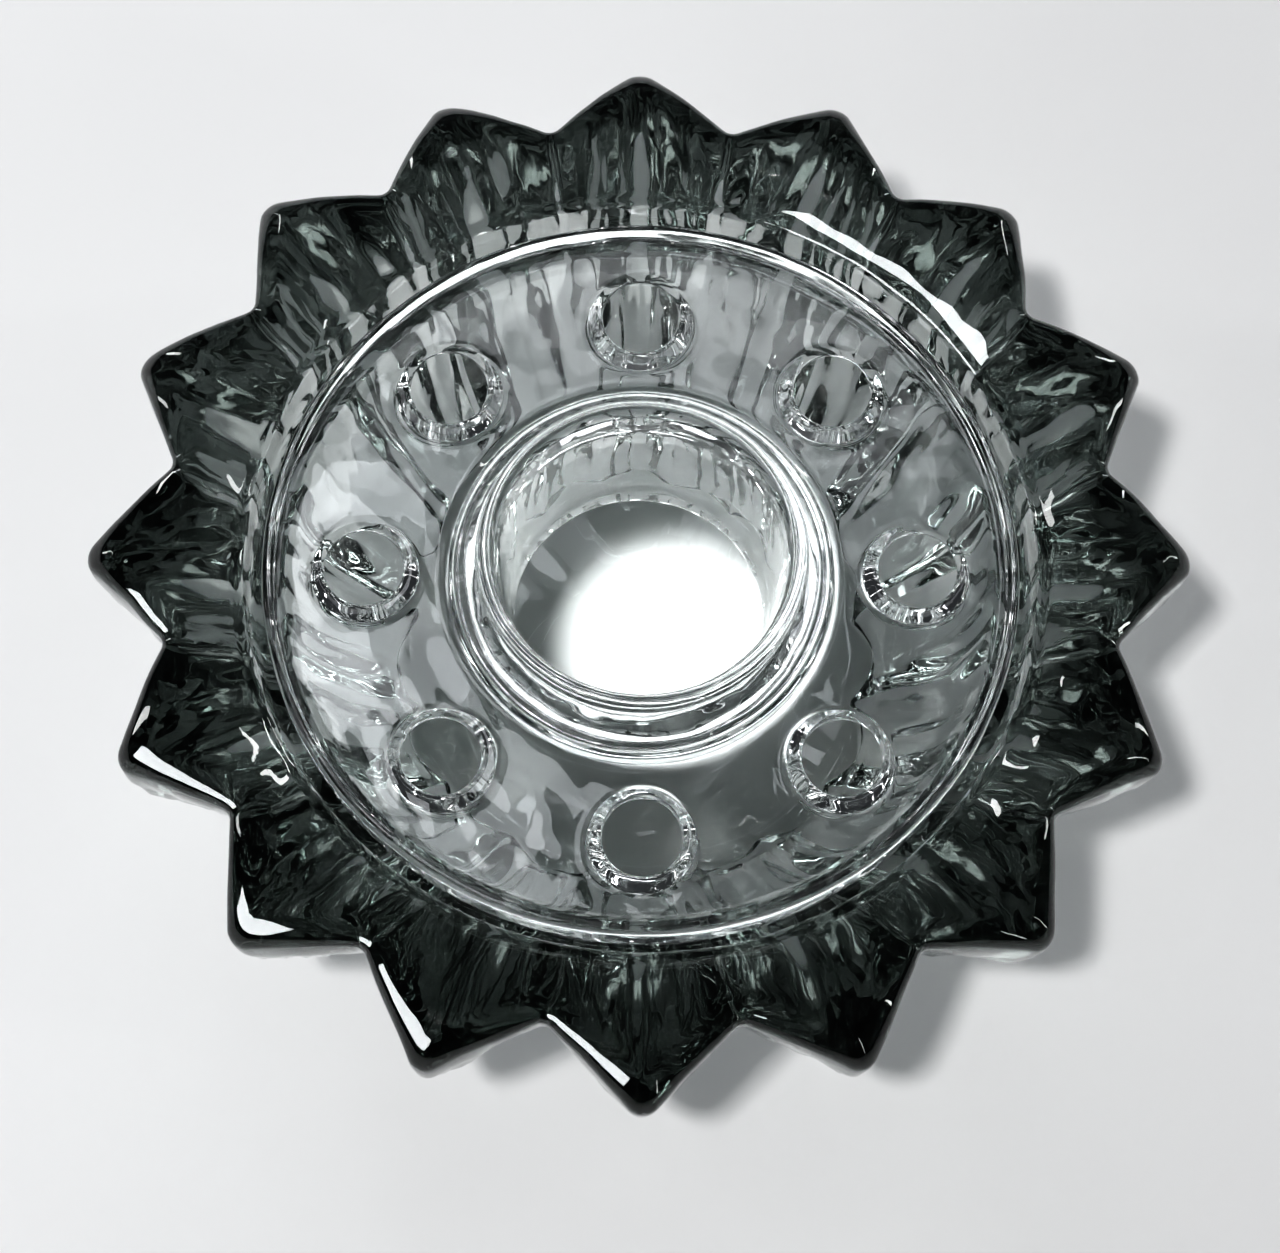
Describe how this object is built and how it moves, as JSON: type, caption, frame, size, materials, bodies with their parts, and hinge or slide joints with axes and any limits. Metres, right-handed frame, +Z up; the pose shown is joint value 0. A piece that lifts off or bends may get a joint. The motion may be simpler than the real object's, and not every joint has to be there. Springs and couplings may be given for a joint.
{
  "type": "flower frog bowl",
  "caption": "Heavy clear glass bowl with a star-pointed rim and a loose round glass frog in its mouth, with stem holes round a raised collar and open tube.",
  "frame": {"origin": "centre of the flat base of the bowl, on the surface it stands on", "axes": "+Z up along the axis of the bowl and the frog; +Y through one tip of the star and one stem hole"},
  "size_m": [0.18, 0.18, 0.063],
  "materials": {
    "bowl_glass": "fire-polished pressed glass, faint green-grey tint",
    "frog_glass": "fire-polished pressed glass, nearly colourless"
  },
  "bodies": {
    "bowl": {"star_bowl": "bowl_glass"},
    "frog": {"frog_insert": "frog_glass"}
  },
  "joints": [
    {"name": "frog_lift", "type": "slide", "parent": "bowl", "child": "frog", "axis": [0, 0, 1], "range_m": [0, 0.045]}
  ]
}
